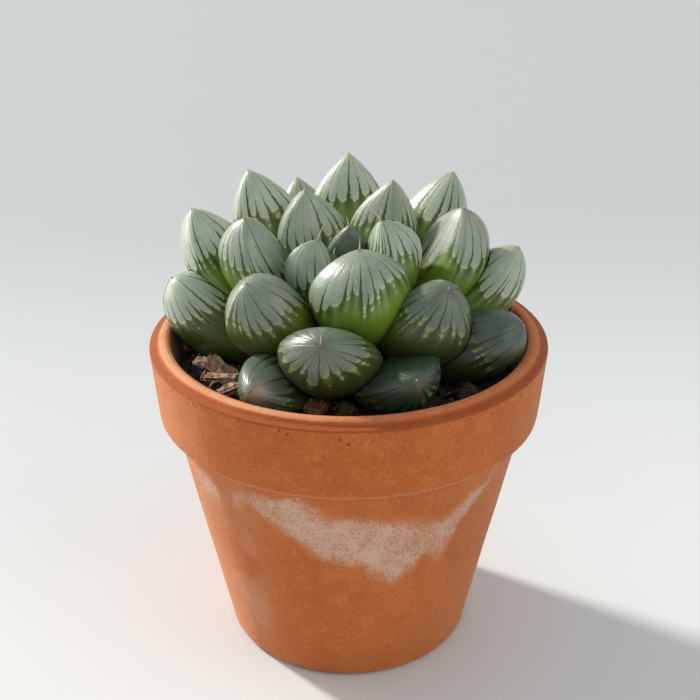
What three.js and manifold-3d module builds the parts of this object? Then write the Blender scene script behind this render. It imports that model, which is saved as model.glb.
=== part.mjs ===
// Potted haworthia: a rosette of plump pointed leaves on a short stem, growing in gritty soil
// in a small terracotta pot with a collar.
//
// Millimetres, +Z up. The origin is the middle of the pot's foot, on the surface that it stands on.
// -Y is the front. The plant leans a little towards the front, as it does towards the light.
//
// Every leaf is one solid by the same rule: a midline that is an arc from the stem to the tip, and
// a cross-section with a round back, a low face and a margin on each side. The leaves are laid down
// from the heart outwards, and each one gives way to those inside it by a clear gap, as real leaves
// that press on each other do.
import * as THREE from "three";
import { mergeVertices } from "three/addons/utils/BufferGeometryUtils.js";
import Module from "manifold-3d";

const wasm = await Module();
wasm.setup();

// ---------------------------------------------------------------- driving dimensions
const GAP = 0.3; // clear space between two pieces that touch on the real plant

const POT = {
  height: 67,
  rimRadius: 40,
  lipRadius: 35.3, // inside of the lip
  collarFoot: 51.3, // height of the collar's lower edge
  collarFootRadius: 38.8,
  bodyTopRadius: 36.1, // body just under the collar
  footRadius: 25.95,
  wall: 3.9,
  floor: 5,
  drainRadius: 4.5,
  segments: 48,
};

const SOIL = {
  top: 61.0,
  relief: 0.9, // height of the crumbs and hollows of its surface
  domeRise: 1.2, // the soil is heaped a little round the stem
  rings: [9, 14, 19, 24, 28.5, 32.5],
  segments: 36,
};

const PLANT = {
  lean: 8, // degrees, towards the front
  crown: new THREE.Vector3(0, 1, 62.5), // where the lowest leaves leave the stem
  coneRadius: 5.4, // stem at the crown
  coneHeight: 9.6,
  rootRadius: 6.2,
  rootDepth: 30,
};

// Shape that all leaves share. The share of the length is 0 at the stem and 1 at the tip.
const LEAF = {
  widestAt: 0.6,
  baseWidth: 0.4, // share of the full width at the stem
  baseBack: 0.4, // share of the full back depth at the stem
  baseFace: 0.3, // share of the full face height at the stem
  rise: 1.3, // how quickly it swells from there
  backPower: 1.1, // roundness of the back
  facePower: 1.5, // the face rises less steeply from the margin than the back
};

// Leaves from the heart outwards. Each row gives the name, the tip's place, the full width, the
// depth of the back and of the face, the turn of the midline in degrees, its roll, the distance of
// the base from the stem's axis and its height over the crown, and how blunt the nose is, from 0,
// pointed, to 1, domed.
const LEAVES = [
  ["heart_leaf_back", [0, 2, 88.6], 9.5, [5, 2], 8, 0, [1, 9], 0.2],
  ["heart_leaf_left", [-3, -2.5, 84.5], 7, [4, 1.5], 8, 0, [1.5, 8.5], 0.2],
  ["heart_leaf_front", [0.5, -4.5, 84], 7, [4, 1.5], 8, 0, [1.5, 8.5], 0.2],
  ["inner_leaf_left", [-6, -4, 88], 12.5, [7, 2.5], 22, 0, [2.5, 7], 0.2],
  ["inner_leaf_right", [6.3, -2, 91], 15.5, [8, 2.5], 25, 0, [3, 6.5], 0.2],
  ["inner_leaf_front", [2, -11, 88.5], 19.5, [10.5, 3], 40, 0, [3.5, 5.5], 1],
  ["inner_leaf_back_right", [9, 14, 94], 15, [8, 2.5], 22, 0, [4, 5.5], 0.2],
  ["inner_leaf_back_left", [-9, 12, 92.6], 16, [8, 2.5], 22, 0, [4, 5.5], 0.3],
  ["middle_leaf_back", [0, 27, 96], 17.5, [9, 3], 25, 0, [5, 4], 0.2],
  ["middle_leaf_left", [-20.5, 1, 90.5], 16, [9, 3], 30, 0, [5, 4], 0.8],
  ["middle_leaf_right", [22.6, 4, 91.5], 18, [9.7, 2.4], 42, 0, [5, 4], 0.6],
  ["middle_leaf_back_left", [-21, 21, 94], 17, [9, 3], 25, 0, [5, 3.5], 0.5],
  ["middle_leaf_back_right", [22, 23, 93], 17, [9, 3], 25, 0, [5, 3.5], 0.5],
  ["middle_leaf_front_left", [-19.2, -14, 82.8], 17, [9.3, 6], 25, 0, [5, 3], 1],
  ["middle_leaf_front_right", [18.3, -16, 82.5], 18.5, [10, 5], 25, 0, [5, 3], 1],
  ["outer_leaf_front", [-5, -30, 77.6], 19.5, [8.2, 4.8], 12, 0, [5.5, 1.5], 1],
  ["outer_leaf_left", [-35.4, 2.3, 77.4], 19, [9.5, 5.5], 52, -5, [5.5, 1], 1],
  ["outer_leaf_left_back", [-32, 12, 88.6], 18.5, [9, 3], 38, 0, [5.5, 2], 0.6],
  ["outer_leaf_right_back", [34, 5, 83], 16, [9, 3.5], 30, 0, [5.5, 1.5], 0.8],
  ["outer_leaf_right", [33.2, -13, 73.8], 18, [8, 5.5], 22, 0, [5.5, 0.5], 0.9],
  ["outer_leaf_far_left", [-11.5, 35, 88], 15, [8, 3], 35, 0, [5.5, 1.5], 0.5],
  ["outer_leaf_far_back", [6, 37, 83], 15, [8, 3], 35, 0, [5.5, 1], 0.5],
  ["outer_leaf_back_left", [-24, 29, 80], 15, [8, 3], 35, 0, [5.5, 1], 0.5],
  ["outer_leaf_back_right", [27, 28, 79], 15, [8, 3], 35, 0, [5.5, 1], 0.5],
  ["outer_leaf_front_left", [-17.8, -30, 68.8], 14.5, [7, 3], 12, -25, [5.5, 0.5], 0.9],
  ["outer_leaf_front_right", [12, -31, 71.4], 17.5, [7.5, 2.4], 10, 12, [5.5, 0.5], 0.9],
  ["lowest_leaf_left", [-27, 20, 71], 14, [7, 3], 40, 0, [5.5, 0.3], 0.8],
  ["lowest_leaf_right", [20, 34, 70], 14, [7, 3], 40, 0, [5.5, 0.3], 0.8],
].map(([name, tip, width, [back, face], curl, roll, foot, blunt]) => ({
  name,
  tip,
  width,
  back,
  face,
  curl,
  roll,
  foot,
  blunt,
}));

// ---------------------------------------------------------------- materials
function finish(colour, roughness) {
  return new THREE.MeshStandardMaterial({ color: colour, roughness, metalness: 0 });
}
const TERRACOTTA = finish(0xb9683c, 0.85);
const SOIL_BROWN = finish(0x2a1d16, 0.95);
const STEM_TAN = finish(0x8a7a4c, 0.7);
const LEAF_GREEN = finish(0x6f8a62, 0.35);
const BARK = finish(0xa9835f, 0.9);
const PERLITE = finish(0xd8d2c4, 0.9);
const GRIT = finish(0x5b5348, 0.9);

// ---------------------------------------------------------------- solids from geometries
// A closed three.js geometry as a solid that can be joined and cut.
function solidOf(geometry) {
  const bare = new THREE.BufferGeometry();
  bare.setAttribute("position", geometry.getAttribute("position"));
  bare.setIndex(geometry.getIndex());
  const merged = mergeVertices(bare, 1e-4);
  return new wasm.Manifold(
    new wasm.Mesh({
      numProp: 3,
      vertProperties: new Float32Array(merged.getAttribute("position").array),
      triVerts: new Uint32Array(merged.getIndex().array),
    }),
  );
}

// The largest body of a solid: a scrap that a cut leaves loose is dropped.
function largestBody(solid) {
  return solid.decompose().reduce((best, body) => (body.volume() > best.volume() ? body : best));
}

// A solid as a geometry again, drawn with flat facets.
function geometryOf(solid) {
  const mesh = solid.getMesh();
  const geometry = new THREE.BufferGeometry();
  geometry.setAttribute("position", new THREE.BufferAttribute(mesh.vertProperties, 3));
  geometry.setIndex(new THREE.BufferAttribute(mesh.triVerts, 1));
  geometry.computeVertexNormals();
  return geometry;
}

function addPiece(group, name, solid, material) {
  const mesh = new THREE.Mesh(geometryOf(solid), material);
  mesh.name = name;
  group.add(mesh);
}

// ---------------------------------------------------------------- outlines that are turned
// Points of an arc in the plane of radius and height, angles in degrees.
function arc(radius, height, size, from, to, steps) {
  return Array.from({ length: steps + 1 }, (_, i) => {
    const angle = THREE.MathUtils.degToRad(from + ((to - from) * i) / steps);
    return [radius + size * Math.cos(angle), height + size * Math.sin(angle)];
  });
}

// An outline that runs anticlockwise, turned about the upright axis.
function latheOf(outline, segments) {
  const points = outline.map(([radius, height]) => new THREE.Vector2(radius, height));
  return new THREE.LatheGeometry(points, segments).rotateX(Math.PI / 2); // the lathe turns about Y
}

// ---------------------------------------------------------------- terracotta pot
// One turned piece: a tapered body on a flat foot with a drain hole, a collar that stands out from
// it, and a lip with a bevelled shoulder. The outline runs up the outside and down the inside.
const INNER_WALL = [
  [POT.lipRadius, POT.height - 1.2],
  [POT.lipRadius - 0.5, POT.height - 4],
  [POT.bodyTopRadius - POT.wall + 0.6, POT.collarFoot - 2],
  [POT.footRadius - POT.wall + 0.6, POT.floor + 3],
];

function makePot() {
  const shoulder = 0.4; // drop of the bevel outside the lip
  const outline = [
    [POT.drainRadius, 0],
    [POT.footRadius - 1.2, 0],
    [POT.footRadius - 0.1, 0.9],
    [POT.bodyTopRadius, POT.collarFoot - 0.6],
    [POT.bodyTopRadius + 0.5, POT.collarFoot],
    [POT.collarFootRadius - 0.4, POT.collarFoot],
    [POT.collarFootRadius, POT.collarFoot + 0.4],
    [POT.rimRadius, POT.height - shoulder - 0.3],
    [POT.rimRadius - 0.25, POT.height - shoulder],
    [POT.rimRadius - 1.9, POT.height - 0.1],
    [POT.rimRadius - 2.4, POT.height],
    ...arc(POT.lipRadius + 1.2, POT.height - 1.2, 1.2, 90, 180, 2),
    ...INNER_WALL.slice(1),
    [POT.footRadius - POT.wall - 2, POT.floor],
    [POT.drainRadius, POT.floor],
    [POT.drainRadius, 0],
  ];
  return solidOf(latheOf(outline, POT.segments));
}

// Inside radius of the pot's wall at a height, from the slanted stretches of its outline.
function innerRadius(height) {
  for (let i = 0; i < INNER_WALL.length - 1; i += 1) {
    const [upperRadius, upper] = INNER_WALL[i];
    const [lowerRadius, lower] = INNER_WALL[i + 1];
    if (height >= lower) {
      return lowerRadius + ((upperRadius - lowerRadius) * (height - lower)) / (upper - lower);
    }
  }
  return INNER_WALL[INNER_WALL.length - 1][0];
}

// ---------------------------------------------------------------- soil
// Height of the soil's surface: heaped a little at the stem, with crumbs and hollows. It is the sum
// of a few waves, so that every piece that lies on it can ask for it.
function soilHeight(x, y) {
  const heap = SOIL.domeRise * Math.exp(-(x * x + y * y) / 500);
  const crumbs =
    Math.sin(0.83 * x + 1.1) * Math.cos(0.71 * y - 0.4) +
    0.6 * Math.sin(1.57 * x - 1.9 * y + 2.3) +
    0.4 * Math.cos(2.3 * x + 1.3 * y);
  return SOIL.top + heap + 0.5 * SOIL.relief * crumbs;
}

// The filling of the pot. grow raises its surface and widens it, which gives the space that other
// pieces leave for it, and is 0 for the soil itself.
function makeSoil(grow) {
  const clear = GAP + 0.02 - grow;
  const floor = POT.floor + clear;
  const [waistRadius, waist] = INNER_WALL[2];
  const [toeRadius, toe] = INNER_WALL[3];
  const edge = innerRadius(SOIL.top) - clear;
  const outline = [
    [0, floor],
    [POT.footRadius - POT.wall - 2.4, floor],
    [toeRadius - clear - 0.15, toe],
    [waistRadius - clear - 0.15, waist],
    [edge, SOIL.top],
    ...SOIL.rings.toReversed().map((radius) => [radius, SOIL.top]),
    [0, SOIL.top],
  ];
  const geometry = latheOf(outline, SOIL.segments);
  const position = geometry.getAttribute("position");
  for (let i = 0; i < position.count; i += 1) {
    if (position.getZ(i) < SOIL.top - 0.01) continue;
    const x = position.getX(i);
    const y = position.getY(i);
    const atWall = Math.hypot(x, y) > edge - 0.1; // the edge keeps level, clear of the slanted wall
    position.setZ(i, (atWall ? SOIL.top : soilHeight(x, y)) + grow);
  }
  return solidOf(geometry);
}

// ---------------------------------------------------------------- stem and root
// A short cone that carries the leaves, on a root that tapers down into the soil. It leans with the
// plant. The same rule, made larger by grow, gives the space that other pieces leave for it.
const STEM_SIDES = 18;
const LEAN = new THREE.Matrix4()
  .makeTranslation(PLANT.crown.x, PLANT.crown.y, PLANT.crown.z)
  .multiply(new THREE.Matrix4().makeRotationX(THREE.MathUtils.degToRad(PLANT.lean)));

function makeStem(grow) {
  const outline = [
    [0, -PLANT.rootDepth - grow],
    [1.4 + grow, -PLANT.rootDepth - grow],
    [3.2 + grow, -PLANT.rootDepth * 0.7],
    [4.6 + grow, -PLANT.rootDepth * 0.4],
    [PLANT.rootRadius + grow, -6],
    [PLANT.rootRadius + grow, -2.5],
    [PLANT.coneRadius + grow, 0],
    [PLANT.coneRadius * 0.42 + grow, PLANT.coneHeight * 0.75],
    [0.9 + grow, PLANT.coneHeight + grow],
    [0, PLANT.coneHeight + grow],
  ];
  const geometry = latheOf(outline, STEM_SIDES);
  geometry.applyMatrix4(LEAN);
  return solidOf(geometry);
}

// A plain hole in the soil for the root, straight and open at the top.
function makeRootHole() {
  const mouth = 8; // reaches out over the surface
  const depth = 4;
  const radius = PLANT.rootRadius + GAP;
  const geometry = new THREE.CylinderGeometry(radius, radius, mouth + depth, STEM_SIDES);
  geometry.rotateX(Math.PI / 2);
  geometry.translate(0, 0, (mouth - depth) / 2);
  geometry.applyMatrix4(LEAN);
  return solidOf(geometry).add(makeStem(GAP));
}

// ---------------------------------------------------------------- leaves
const UP = new THREE.Vector3(0, 0, 1).transformDirection(LEAN); // along the stem

// The leaf's own place and directions: its base, along to the tip, towards its face and across.
function leafFrame(leaf) {
  const tip = new THREE.Vector3(...leaf.tip);
  const outward = tip.clone().sub(PLANT.crown);
  outward.addScaledVector(UP, -outward.dot(UP));
  outward.normalize();
  const base = PLANT.crown.clone().addScaledVector(outward, leaf.foot[0]);
  base.addScaledVector(UP, leaf.foot[1]);
  const along = tip.clone().sub(base);
  const chord = along.length();
  along.normalize();
  const face = UP.clone().addScaledVector(along, -along.dot(UP)).normalize();
  face.applyAxisAngle(along, THREE.MathUtils.degToRad(leaf.roll));
  const across = along.clone().cross(face);
  return { base, chord, along, face, across };
}

// Shares of the full width, back and face at a share of the length.
function leafProfile(share, blunt) {
  if (share < LEAF.widestAt) {
    const swell = Math.sin(((share / LEAF.widestAt) * Math.PI) / 2) ** LEAF.rise;
    return [LEAF.baseWidth, LEAF.baseBack, LEAF.baseFace].map((foot) => foot + (1 - foot) * swell);
  }
  const t = Math.min(1, (share - LEAF.widestAt) / (1 - LEAF.widestAt));
  return [
    (1 - t ** (1.75 + 0.45 * blunt)) ** (1 - 0.32 * blunt),
    (1 - t ** 2.3) ** 0.62,
    (1 - t ** (2.2 + 0.8 * blunt)) ** (0.7 - 0.15 * blunt),
  ];
}

// One leaf. grow makes it larger all round, which gives the space that other leaves leave for it.
function makeLeaf(leaf, grow, rings, sides) {
  const { base, chord, along, face, across } = leafFrame(leaf);
  const turn = THREE.MathUtils.degToRad(leaf.curl);
  const radius = chord / 2 / Math.sin(turn / 2);
  const positions = [];
  const centre = new THREE.Vector3();
  const outwards = new THREE.Vector3();
  const point = new THREE.Vector3();
  for (let ring = 0; ring <= rings; ring += 1) {
    const share = 1 - (1 - ring / rings) ** 1.5; // rings lie closer towards the tip
    const angle = turn * (share - 0.5);
    const reach = radius * (Math.sin(turn / 2) + Math.sin(angle)) + 2 * grow * (share - 0.5);
    const sag = radius * (Math.cos(angle) - Math.cos(turn / 2));
    centre.copy(base).addScaledVector(along, reach).addScaledVector(face, -sag);
    outwards.copy(along).multiplyScalar(-Math.sin(angle)).addScaledVector(face, Math.cos(angle));
    const [widthShare, backShare, faceShare] = leafProfile(share, leaf.blunt);
    const halfWidth = 0.5 * leaf.width * widthShare + grow;
    const back = leaf.back * backShare + grow;
    const rise = leaf.face * faceShare + grow;
    for (let side = 0; side < sides; side += 1) {
      const turnRound = (2 * Math.PI * side) / sides;
      const sine = Math.sin(turnRound);
      const height = sine > 0 ? rise * sine ** LEAF.facePower : -back * Math.abs(sine) ** LEAF.backPower;
      point.copy(centre).addScaledVector(across, halfWidth * Math.cos(turnRound));
      point.addScaledVector(outwards, height);
      positions.push(point.x, point.y, point.z);
    }
  }
  return skin(positions, rings, sides);
}

// Closes rings of points into a solid, with a fan at each end.
function skin(positions, rings, sides) {
  const index = [];
  for (let ring = 0; ring < rings; ring += 1) {
    for (let side = 0; side < sides; side += 1) {
      const a = ring * sides + side;
      const b = ring * sides + ((side + 1) % sides);
      index.push(a, b + sides, b, a, a + sides, b + sides);
    }
  }
  const last = rings * sides;
  for (let side = 1; side < sides - 1; side += 1) {
    index.push(0, side, side + 1);
    index.push(last, last + side + 1, last + side);
  }
  const geometry = new THREE.BufferGeometry();
  geometry.setAttribute("position", new THREE.Float32BufferAttribute(positions, 3));
  geometry.setIndex(index);
  return solidOf(geometry);
}

// ---------------------------------------------------------------- loose bits on the soil
// Bark chips, white perlite and grit lie half sunk in the surface. Each is a lump with its corners
// knocked about by a seeded draw, so that no two are alike. Each row gives the name, its place, its
// length, width and thickness, its turn about the upright and its tilt, both in degrees, how far its
// middle lies over the soil, and what it is made of.
const BITS = [
  ["bark_chip_large", [-25.2, -9.2], [8.5, 4.8, 2.2], -38, 18, 1.5, BARK],
  ["bark_chip_long", [-24.8, -13.2], [7, 2.6, 1.8], -22, -8, 0.9, BARK],
  ["bark_chip_edge", [-22.6, -18.4], [4.8, 2.8, 2], 25, -12, 0.9, BARK],
  ["bark_chip_side", [-32.2, 3.2], [5, 2.2, 1.7], 70, 8, 0.9, BARK],
  ["perlite_side", [-29.6, -4.8], [3.4, 2.2, 2.2], 35, 5, 1.1, PERLITE],
  ["pebble_front", [-6.2, -25.4], [4.8, 3.8, 3.4], 10, 0, 1.4, GRIT],
  ["pebble_front_dark", [-0.6, -26.2], [5, 4.2, 3.2], 40, 0, 1.2, GRIT],
  ["pebble_right", [22.2, -18.6], [5.2, 4.4, 3.4], -20, 0, 1.3, GRIT],
  ["pebble_back", [30.5, 14.5], [4.4, 3.6, 3.2], 30, 0, 1.2, GRIT],
  ["perlite_back", [-8, 32.8], [3.2, 2.8, 2.6], 50, 0, 1.1, PERLITE],
].map(([name, place, size, spin, tilt, lift, made]) => ({ name, place, size, spin, tilt, lift, made }));

// Seeded draw between 0 and 1.
function seededDraw(seed) {
  let state = seed;
  return () => {
    state = (1664525 * state + 1013904223) % 4294967296;
    return state / 4294967296;
  };
}

function makeBit(bit, seed, grow) {
  const draw = seededDraw(seed);
  const geometry = mergeVertices(bareIcosahedron(), 1e-4);
  const position = geometry.getAttribute("position");
  const point = new THREE.Vector3();
  for (let i = 0; i < position.count; i += 1) {
    point.fromBufferAttribute(position, i).multiplyScalar(0.8 + 0.4 * draw());
    position.setXYZ(i, point.x, point.y, point.z);
  }
  geometry.scale(...bit.size.map((length) => length / 2 + grow));
  geometry.rotateY(THREE.MathUtils.degToRad(bit.tilt));
  geometry.rotateZ(THREE.MathUtils.degToRad(bit.spin));
  const [x, y] = bit.place;
  geometry.translate(x, y, soilHeight(x, y) + bit.lift);
  return solidOf(geometry);
}

function bareIcosahedron() {
  const geometry = new THREE.IcosahedronGeometry(1, 0);
  geometry.deleteAttribute("normal");
  geometry.deleteAttribute("uv");
  return geometry;
}

// ---------------------------------------------------------------- the whole part
const group = new THREE.Group();
addPiece(group, "pot", makePot(), TERRACOTTA);
addPiece(group, "soil", makeSoil(0).subtract(makeRootHole()), SOIL_BROWN);
addPiece(group, "stem", makeStem(0), STEM_TAN);

// What the lip of the pot needs to itself: its own section, made larger all round.
function makeLipSpace() {
  const low = SOIL.top - 4;
  const outline = [
    [innerRadius(low) - GAP, low],
    [POT.rimRadius + GAP, low],
    [POT.rimRadius + GAP, POT.height - 0.3],
    [POT.rimRadius - 1.6, POT.height + GAP],
    [POT.lipRadius + 1, POT.height + GAP],
    [POT.lipRadius - GAP, POT.height - 1],
    [POT.lipRadius - 0.5 - GAP, POT.height - 4],
    [innerRadius(low) - GAP, low],
  ];
  return solidOf(latheOf(outline, POT.segments));
}

// A leaf may not enter the stem, the soil, the pot's lip or the leaves that lie further in.
let taken = makeStem(GAP).add(makeSoil(GAP + 0.05)).add(makeLipSpace());
for (const leaf of LEAVES) {
  const small = leaf.width < 10;
  const rings = small ? 7 : 10;
  const sides = small ? 8 : 12;
  const whole = makeLeaf(leaf, 0, rings, sides);
  addPiece(group, leaf.name, largestBody(whole.subtract(taken)), LEAF_GREEN);
  taken = taken.add(makeLeaf(leaf, GAP, rings, sides));
}

BITS.forEach((bit, i) => {
  const seed = 11 + i;
  addPiece(group, bit.name, largestBody(makeBit(bit, seed, 0).subtract(taken)), bit.made);
  taken = taken.add(makeBit(bit, seed, GAP));
});

export default group;
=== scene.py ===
"""A haworthia in its clay pot: the looks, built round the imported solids. Metres, Z up."""
import math
import random

import bpy
import numpy as np
from mathutils import Euler, Matrix, Vector, noise
from mathutils.bvhtree import BVHTree


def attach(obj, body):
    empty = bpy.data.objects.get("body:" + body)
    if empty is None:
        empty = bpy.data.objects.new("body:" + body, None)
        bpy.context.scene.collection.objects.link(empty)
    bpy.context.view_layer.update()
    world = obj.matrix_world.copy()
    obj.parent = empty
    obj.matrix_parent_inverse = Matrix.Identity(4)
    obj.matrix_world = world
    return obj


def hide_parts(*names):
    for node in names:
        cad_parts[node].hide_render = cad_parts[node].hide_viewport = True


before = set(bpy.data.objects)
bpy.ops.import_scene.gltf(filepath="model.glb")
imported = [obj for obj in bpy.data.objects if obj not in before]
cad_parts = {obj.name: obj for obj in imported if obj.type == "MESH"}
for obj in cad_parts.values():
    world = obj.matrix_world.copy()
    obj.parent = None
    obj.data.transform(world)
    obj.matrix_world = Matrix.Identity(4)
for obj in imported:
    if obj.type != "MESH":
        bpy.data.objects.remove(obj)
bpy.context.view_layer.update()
bpy.ops.object.select_all(action="DESELECT")

# ---------------------------------------------------------------- table, daylight and camera
# A pale matt tabletop under daylight: a window at the back left, strong from high up and weak from
# low down, a softer and weaker one at the right, and a bright room all round. The lens looks down
# on the plant by 26 degrees.
mm = 0.001
scene = bpy.context.scene
scene.view_settings.view_transform = "Standard"

bpy.ops.object.camera_add(location=(0.00024, -0.21922, 0.16802))
camera = bpy.context.object
camera.rotation_euler = (math.radians(90 - 25.7), 0, 0)
camera.data.lens = 61.4
camera.data.sensor_width = 36
camera.data.clip_start = 0.01
scene.camera = camera


def window_light(name, towards, strength, softness, colour):
    """Even light from a far window, seen in a direction, with a width in degrees."""
    turned_to = Vector(towards).to_track_quat("Z", "Y").to_euler()
    bpy.ops.object.light_add(type="SUN", rotation=turned_to)
    light = bpy.context.object
    light.name = name
    light.data.energy = strength
    light.data.angle = math.radians(softness)
    light.data.color = colour


window_light("window_left", (-0.70, 0.52, 0.50), 3.6, 6, (1.0, 0.965, 0.915))
window_light("window_low", (-0.85, 0.42, 0.12), 0.9, 24, (1.0, 0.97, 0.93))
window_light("window_right", (0.75, -0.35, 0.55), 0.55, 45, (1.0, 0.96, 0.9))
world = bpy.data.worlds.new("bright_room")
world.use_nodes = True
world.node_tree.nodes["Background"].inputs["Color"].default_value = (0.94, 0.965, 0.99, 1)
world.node_tree.nodes["Background"].inputs["Strength"].default_value = 0.57
scene.world = world


def opaque(colour):
    """A colour as the nodes take it. One that is a Shade stays as it is."""
    return colour if isinstance(colour, Shade) else (*colour, 1)


class Shade:
    """A socket of a material that is being written. Arithmetic on it adds Math nodes."""

    def __init__(self, tree, socket=None):
        self.tree = tree
        self.socket = socket

    def add(self, kind, settings=None, inputs=None, output=0):
        """Adds a node, sets it up, feeds its sockets and gives one of its outputs."""
        node = self.tree.nodes.new("ShaderNode" + kind)
        for key, value in (settings or {}).items():
            if key == "stops":
                while len(node.color_ramp.elements) < len(value):
                    node.color_ramp.elements.new(0.5)
                for element, (position, colour) in zip(node.color_ramp.elements, value):
                    element.position = position
                    element.color = colour
            else:
                setattr(node, key, value)
        for key, value in (inputs or {}).items():
            if isinstance(value, Shade):
                self.tree.links.new(value.socket, node.inputs[key])
            else:
                node.inputs[key].default_value = value
        return Shade(self.tree, node.outputs[output] if node.outputs else None)

    def math(self, operation, *values):
        return self.add("Math", {"operation": operation}, dict(enumerate(values)))

    def __add__(self, other):
        return self.math("ADD", self, other)

    __radd__ = __add__

    def __sub__(self, other):
        return self.math("SUBTRACT", self, other)

    def __rsub__(self, other):
        return self.math("SUBTRACT", other, self)

    def __mul__(self, other):
        return self.math("MULTIPLY", self, other)

    def __truediv__(self, other):
        return self.math("DIVIDE", self, other)

    def __pow__(self, other):
        return self.math("POWER", self, other)

    def __abs__(self):
        return self.math("ABSOLUTE", self)

    def least(self, other):
        return self.math("MINIMUM", self, other)

    def most(self, other):
        return self.math("MAXIMUM", self, other)

    def root(self):
        return self.math("SQRT", self)

    def fract(self):
        return self.math("FRACT", self)

    def floor(self):
        return self.math("FLOOR", self)

    def step(self, low, high):
        """Rises smoothly from 0 at low to 1 at high."""
        ends = {"Value": self, "From Min": low, "From Max": high}
        return self.add("MapRange", {"interpolation_type": "SMOOTHSTEP"}, ends)

    def mix(self, below, above):
        """A colour that goes from one to the other as this goes from 0 to 1."""
        return self.add("Mix", {"data_type": "RGBA"}, {0: self, 6: opaque(below), 7: opaque(above)}, 2)

    def split(self):
        """The three numbers of a vector."""
        numbers = self.add("SeparateXYZ", None, {0: self}).socket.node.outputs
        return [Shade(self.tree, number) for number in numbers]

    def grain(self, place, scale, detail=2.0, rough=0.5):
        """Noise at a place, about 0 to 1, with features of 1/scale."""
        sockets = {"Vector": place, "Scale": scale, "Detail": detail, "Roughness": rough}
        return self.add("TexNoise", None, sockets)


def new_material(name):
    """An empty material, its first Shade and the place on the piece, in metres."""
    material = bpy.data.materials.new(name)
    material.use_nodes = True
    material.node_tree.nodes.clear()
    pen = Shade(material.node_tree)
    return material, pen, pen.add("TexCoord", None, None, "Object")


def surface(pen, base, rough, relief, strength, depth, fixed=None):
    """Ends a material. The relief is felt with a strength up to 1 and a depth in metres."""
    bump = pen.add("Bump", None, {"Height": relief, "Strength": strength, "Distance": depth})
    sockets = {"Base Color": base, "Roughness": rough, "Normal": bump, **(fixed or {})}
    shader = pen.add("BsdfPrincipled", None, sockets)
    pen.add("OutputMaterial", None, {"Surface": shader})


bpy.ops.mesh.primitive_plane_add(size=6)
table = bpy.context.object
table.name = "tabletop"
table_paint, pen, place = new_material("tabletop_paint")
mottle = pen.grain(place, 40, 3)
# Painted shade: the top is painted darker towards the back, where the far table lies in shade.
far_shade = place.split()[1].step(-0.05, 0.28)
paint = mottle.mix((0.70, 0.74, 0.745), (0.725, 0.76, 0.765))
paint = far_shade.mix(paint, (0.485, 0.51, 0.525))
surface(pen, paint, mottle * 0.1 + 0.55, pen.grain(place, 900, 2), 0.05, 0.0001)
table.data.materials.append(table_paint)

# ---------------------------------------------------------------- pot
# One piece of fired terracotta, 80 mm across: a tapered body, a collar that stands out from it, a
# bevelled lip and a drain hole. The clay is pitted, its edges are worn, and salt has bloomed on it.


def turned(name, outline, around):
    """A closed turned wall: a ring at the outline's first point, drawn on through the others."""
    first_radius, first_height = outline[0]
    bpy.ops.mesh.primitive_circle_add(
        vertices=around, radius=first_radius * mm, location=(0, 0, first_height * mm)
    )
    piece = bpy.context.object
    piece.name = name
    bpy.ops.object.transform_apply(location=True, rotation=True, scale=True)
    bpy.ops.object.mode_set(mode="EDIT")
    bpy.ops.mesh.select_all(action="SELECT")
    for (radius, height), (next_radius, next_height) in zip(outline, outline[1:]):
        rise = (0, 0, (next_height - height) * mm)
        bpy.ops.mesh.extrude_region_move(TRANSFORM_OT_translate={"value": rise})
        widen = next_radius / radius
        bpy.ops.transform.resize(value=(widen, widen, 1), center_override=(0, 0, next_height * mm))
    bpy.ops.mesh.select_all(action="SELECT")
    bpy.ops.mesh.remove_doubles(threshold=1e-6)
    bpy.ops.mesh.normals_make_consistent(inside=False)
    bpy.ops.object.mode_set(mode="OBJECT")
    return piece


def use_modifier(piece, kind, settings):
    """Adds a modifier and applies it."""
    modifier = piece.modifiers.new(kind.lower(), kind)
    for key, value in settings.items():
        setattr(modifier, key, value)
    bpy.context.view_layer.objects.active = piece
    bpy.ops.object.modifier_apply(modifier=modifier.name)


def move_points(piece, rule):
    """Moves every point of a piece by a rule on its place, in millimetres."""
    for vertex in piece.data.vertices:
        vertex.co = Vector(rule(vertex.co / mm)) * mm


def smooth(piece, degrees):
    """Shades a piece smooth, apart from edges sharper than an angle."""
    bpy.ops.object.select_all(action="DESELECT")
    piece.select_set(True)
    bpy.context.view_layer.objects.active = piece
    bpy.ops.object.shade_smooth_by_angle(angle=math.radians(degrees))
    bpy.ops.object.select_all(action="DESELECT")


def hand_over(piece, slot, material, *nodes):
    """Gives a finished piece its material, its body and the nodes that it stands for. The slot is not used.
    """
    piece.data.materials.clear()
    piece.data.materials.append(material)
    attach(piece, "root")
    if nodes:
        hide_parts(*nodes)


def settle(point):
    """Clay shrinks a little unevenly in the kiln, so no ring of the pot is quite round."""
    x, y, z = point
    turn = math.atan2(y, x)
    drift = noise.noise(Vector((1.3 * math.cos(turn), 1.3 * math.sin(turn), 0.03 * z)))
    ripple = noise.noise(Vector((9 * math.cos(turn), 9 * math.sin(turn), 0.35 * z)))
    grow = 1 + (0.12 * drift + 0.035 * ripple) / max(20, math.hypot(x, y))
    return x * grow, y * grow, z


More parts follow.
